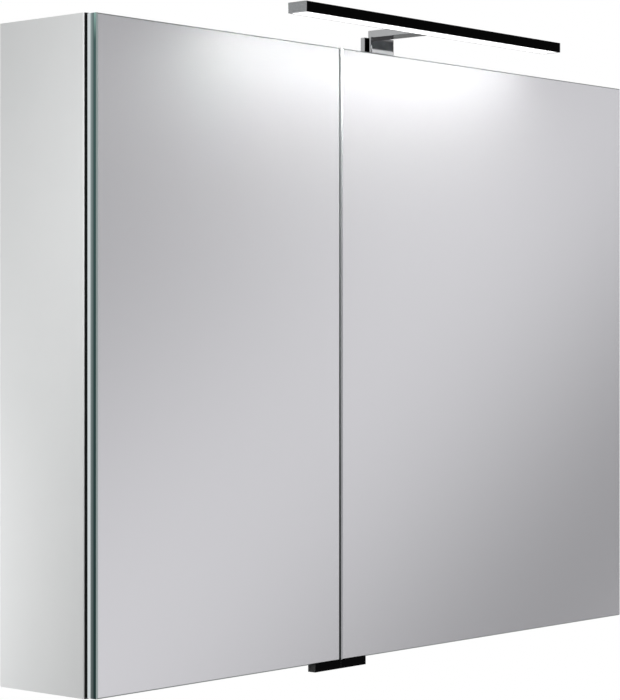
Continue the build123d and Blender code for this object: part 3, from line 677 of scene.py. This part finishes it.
# Driver box and switch: white moulded polycarbonate, screwed to the top panel.
# The mould gave it a fine matt texture.
casing_pit_width = 0.8  # mm, drawn coarser than it is so that it shows
casing_pit_depth = 0.0001
polycarbonate, tree, shader, place = new_finish("white_moulded_polycarbonate", {"IOR": 1.58})
texture = add_node(
    tree,
    "ShaderNodeTexVoronoi",
    {"Scale": scale_for(casing_pit_width)},
    {"Vector": place.outputs["Object"]},
)
mottle(tree, shader, texture.outputs["Distance"], tones=("#e2e3e2", "#eeefee"), roughness=(0.42, 0.55))
relief = add_node(
    tree,
    "ShaderNodeBump",
    {"Strength": 0.15, "Distance": casing_pit_depth},
    {"Height": texture.outputs["Distance"]},
)
tree.links.new(relief.outputs["Normal"], shader.inputs["Normal"])
dress(polycarbonate, "driver_base", "driver_cover", "switch_housing", "switch_rocker")


# Studio floor: a pale matt disc well below the hung cabinet.
# It keeps the cabinet's soft shadow, looks paler to the eye than it lights,
# and fades into the white all round.
floor_level = -2.5
floor_radius = 5.5
rim_points = 64
floor_pallor = 0.5
floor_fade_from, floor_fade_to = 2.2, 5.0  # distance from the cabinet's origin


def add_surface(name, points, faces):
    """Mesh object from whole arrays of points and faces, with its place in its mesh."""
    mesh = bpy.data.meshes.new(name)
    mesh.from_pydata(np.asarray(points).tolist(), [], np.asarray(faces).tolist())
    made = bpy.data.objects.new(name, mesh)
    bpy.context.scene.collection.objects.link(made)
    return made


def add_eye_share(tree):
    """Adds nodes that give 1 to the eye, in reflections and through glass, and 0 to other light."""
    path = add_node(tree, "ShaderNodeLightPath", {})
    seen = add_node(
        tree,
        "ShaderNodeMath",
        {"operation": "ADD"},
        {0: path.outputs["Is Camera Ray"], 1: path.outputs["Is Glossy Ray"]},
    )
    return add_node(
        tree,
        "ShaderNodeMath",
        {"operation": "ADD", "use_clamp": True},
        {0: seen.outputs["Value"], 1: path.outputs["Is Transmission Ray"]},
    )


# The rim is a circle: the cosine and sine of even turns, times the radius.
turn = np.linspace(0, 2 * np.pi, rim_points, endpoint=False)
rim = np.stack([np.cos(turn), np.sin(turn), 0 * turn], axis=1) * floor_radius
floor = add_surface("studio_floor", rim + [0, 0, floor_level], [np.arange(rim_points)])
pale, tree, shader, place = new_finish(
    "pale_matt_floor",
    {"Roughness": 0.9, "Base Color": colour("#ebebea"), "Emission Color": colour("#ffffff")},
)
spread = add_node(tree, "ShaderNodeVectorMath", {"operation": "LENGTH"}, {0: place.outputs["Object"]})
fade = add_node(
    tree,
    "ShaderNodeMapRange",
    {
        "interpolation_type": "SMOOTHSTEP",
        "From Min": floor_fade_from,
        "From Max": floor_fade_to,
        "To Min": 1.0,
        "To Max": 0.0,
    },
    {"Value": spread.outputs["Value"]},
)
shown = add_eye_share(tree)
pallor = add_node(
    tree, "ShaderNodeMath", {"operation": "MULTIPLY", 1: floor_pallor}, {0: shown.outputs["Value"]}
)
tree.links.new(pallor.outputs["Value"], shader.inputs["Emission Strength"])
tree.links.new(fade.outputs["Result"], shader.inputs["Alpha"])
floor.data.materials.append(pale)


# Studio card: a wide grey card in front of the doors, seen only in reflections.
# Its soft light band runs slanting up to the right, it grows lighter to the left,
# and low down it fades into the white of the floor.
card_distance = 3.0
card_half_width = 9.0
card_top = 3.2
card_half_height = (card_top - floor_level) / 2
band_slope = np.radians(35.4)
band_pitch = 2.644
band_crest = 2.272
card_low, card_high = 0.373, 0.692
lift_from, lift_to = 3.196, 2.0
lift_most = 0.062
card_fade_from, card_fade_to = -1.75, -2.5


def add_sheet(name, middle, half_along, half_across):
    """Flat sheet with four corners: its middle plus or minus one half edge and the other."""
    signs = np.array([(-1, -1), (1, -1), (1, 1), (-1, 1)])
    corners = np.add(middle, signs @ np.array([half_along, half_across]))
    return add_surface(name, corners, [(3, 2, 1, 0)])


def show_in_reflections(sheet):
    """Leaves a sheet to glossy rays alone."""
    sheet.visible_camera = False
    sheet.visible_diffuse = False
    sheet.visible_transmission = False
    sheet.visible_shadow = False


card = add_sheet(
    "reflection_card",
    (0, -card_distance, floor_level + card_half_height),
    (card_half_width, 0, 0),
    (0, 0, card_half_height),
)
grey_card, tree, shader, place = new_finish(
    "grey_card_light_band",
    {
        "Base Color": colour("#000000"),
        "Roughness": 1.0,
        "Specular IOR Level": 0.0,
        "Emission Color": colour("#f9f7fa"),
    },
)
across = add_node(
    tree,
    "ShaderNodeVectorMath",
    {"operation": "DOT_PRODUCT", 1: (np.sin(band_slope), 0, -np.cos(band_slope))},
    {0: place.outputs["Object"]},
)
phase = add_node(
    tree,
    "ShaderNodeMapRange",
    {"clamp": False, "From Min": band_crest, "From Max": band_crest + band_pitch, "To Max": 2 * np.pi},
    {"Value": across.outputs["Value"]},
)
swell = add_node(tree, "ShaderNodeMath", {"operation": "COSINE"}, {0: phase.outputs["Result"]})
level = add_node(
    tree,
    "ShaderNodeMapRange",
    {"From Min": -1.0, "From Max": 1.0, "To Min": card_low, "To Max": card_high},
    {"Value": swell.outputs["Value"]},
)
where = add_node(tree, "ShaderNodeSeparateXYZ", {}, {"Vector": place.outputs["Object"]})
leftward = add_node(
    tree, "ShaderNodeMapRange", {"From Min": lift_from, "From Max": lift_to}, {"Value": where.outputs["X"]}
)
squared = add_node(
    tree, "ShaderNodeMath", {"operation": "POWER", 1: 2.0}, {0: leftward.outputs["Result"]}
)
lifted = add_node(
    tree,
    "ShaderNodeMath",
    {"operation": "MULTIPLY_ADD", 1: lift_most},
    {0: squared.outputs["Value"], 2: level.outputs["Result"]},
)
faded = add_node(
    tree,
    "ShaderNodeMapRange",
    {
        "interpolation_type": "SMOOTHSTEP",
        "From Min": card_fade_from,
        "From Max": card_fade_to,
        "To Max": 1.0,
    },
    {"Value": where.outputs["Z"], "To Min": lifted.outputs["Value"]},
)
tree.links.new(faded.outputs["Result"], shader.inputs["Emission Strength"])
card.data.materials.append(grey_card)
show_in_reflections(card)


# Studio light: broad soft boxes in front, above, behind and on the right, and two small ones
# close to the left side, high in front and low behind, which give that side its soft shading.
def add_soft_box(name, place, aim, size, power):
    """Rectangular area lamp at a place, turned to face its aim, that no camera or mirror sees."""
    lamp = bpy.data.lights.new(name, "AREA")
    lamp.shape = "RECTANGLE"
    lamp.size, lamp.size_y = size
    lamp.energy = power
    made = bpy.data.objects.new(name, lamp)
    made.location = place
    made.rotation_euler = (Vector(aim) - Vector(place)).to_track_quat("-Z", "Y").to_euler()
    made.visible_camera = False
    made.visible_glossy = False
    bpy.context.scene.collection.objects.link(made)


centre = (0, -0.1, -0.3)
small = (0.4, 0.4)
add_soft_box("front_box", (-1.0, -3.2, 2.0), centre, (2.4, 1.6), 110)
add_soft_box("top_box", (0.4, -0.4, 2.8), centre, (2.0, 2.0), 24)
add_soft_box("right_box", (2.8, -1.2, 0.6), centre, (1.6, 1.6), 30)
add_soft_box("rear_box", (0.6, 3.2, 0.8), centre, (2.4, 1.6), 40)
add_soft_box("left_high_box", (-0.887, -0.373, -0.103), (-0.5, 0.0, 0.2), small, 1.424)
add_soft_box("left_low_box", (-0.72, 0.344, -0.581), (-0.5, 0.1, -0.56), small, 2.049)


# Lamp glow: a clear sheet of light at the diffuser, longer and wider than the lamp.
# It lights only the haze on the mirrors, and neither the eye nor a sharp reflection sees it.
lamp_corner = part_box("lamp_profile")[0]
glow_half_length = 0.285
glow_half_width = 0.0465
glow_forward = 0.012
glow_lift = 0.0073
glow_strength = 83.5
glow_x = -0.002
lamp_glow = add_sheet(
    "lamp_glow",
    (glow_x, lamp_corner.y - glow_forward, lamp_corner.z + glow_lift),
    (glow_half_length, 0, 0),
    (0, glow_half_width, 0),
)
gleam = bpy.data.materials.new("clear_lamp_gleam")
gleam.use_nodes = True
gleam.cycles.emission_sampling = "FRONT"
tree = gleam.node_tree
tree.nodes.clear()
path = add_node(tree, "ShaderNodeLightPath", {})
hazy_only = add_node(
    tree,
    "ShaderNodeMapRange",
    {"To Min": glow_strength, "To Max": 0.0},
    {"Value": path.outputs["Is Singular Ray"]},
)
lit = add_node(tree, "ShaderNodeEmission", {}, {"Strength": hazy_only.outputs["Result"]})
clear = add_node(tree, "ShaderNodeBsdfTransparent", {})
both = add_node(tree, "ShaderNodeAddShader", {}, {0: lit.outputs["Emission"], 1: clear.outputs["BSDF"]})
add_node(tree, "ShaderNodeOutputMaterial", {}, {"Surface": both.outputs["Shader"]})
lamp_glow.data.materials.append(gleam)
show_in_reflections(lamp_glow)
hazy = bpy.data.collections.new("hazy_mirrors")
hazy.objects.link(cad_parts["mirror_outer_left"])
hazy.objects.link(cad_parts["mirror_outer_right"])
lamp_glow.light_linking.receiver_collection = hazy
lamp_glow.light_linking.blocker_collection = hazy


# Studio backdrop: the world is plain white to the eye, in metal and through glass.
# To matt surfaces it gives a soft even light from all round.
fill_strength = 0.2
white_strength = 1.0
world = bpy.data.worlds.new("white_studio")
bpy.context.scene.world = world
world.use_nodes = True
tree = world.node_tree
tree.nodes.clear()
shown = add_eye_share(tree)
soft = add_node(tree, "ShaderNodeBackground", {"Color": colour("#ffffff"), "Strength": fill_strength})
white = add_node(tree, "ShaderNodeBackground", {"Color": colour("#ffffff"), "Strength": white_strength})
backdrop = add_node(
    tree,
    "ShaderNodeMixShader",
    {},
    {0: shown.outputs["Value"], 1: soft.outputs["Background"], 2: white.outputs["Background"]},
)
add_node(tree, "ShaderNodeOutputWorld", {}, {"Surface": backdrop.outputs["Shader"]})
bpy.context.scene.view_settings.view_transform = "Standard"


# Camera: level, left of the cabinet and at the height of its middle, with a long lens.
# The small shift puts the level horizon where the photograph has it.
camera_place = (-2.19413, -1.93796, -0.28981)
camera_turn = -0.85216
lens_length = 118.353
horizon_shift = -0.01535
view = bpy.data.cameras.new("photo_view")
view.lens = lens_length
view.shift_y = horizon_shift
camera = bpy.data.objects.new("photo_view", view)
camera.location = camera_place
camera.rotation_euler = (np.pi / 2, 0, camera_turn)
bpy.context.scene.collection.objects.link(camera)
bpy.context.scene.camera = camera
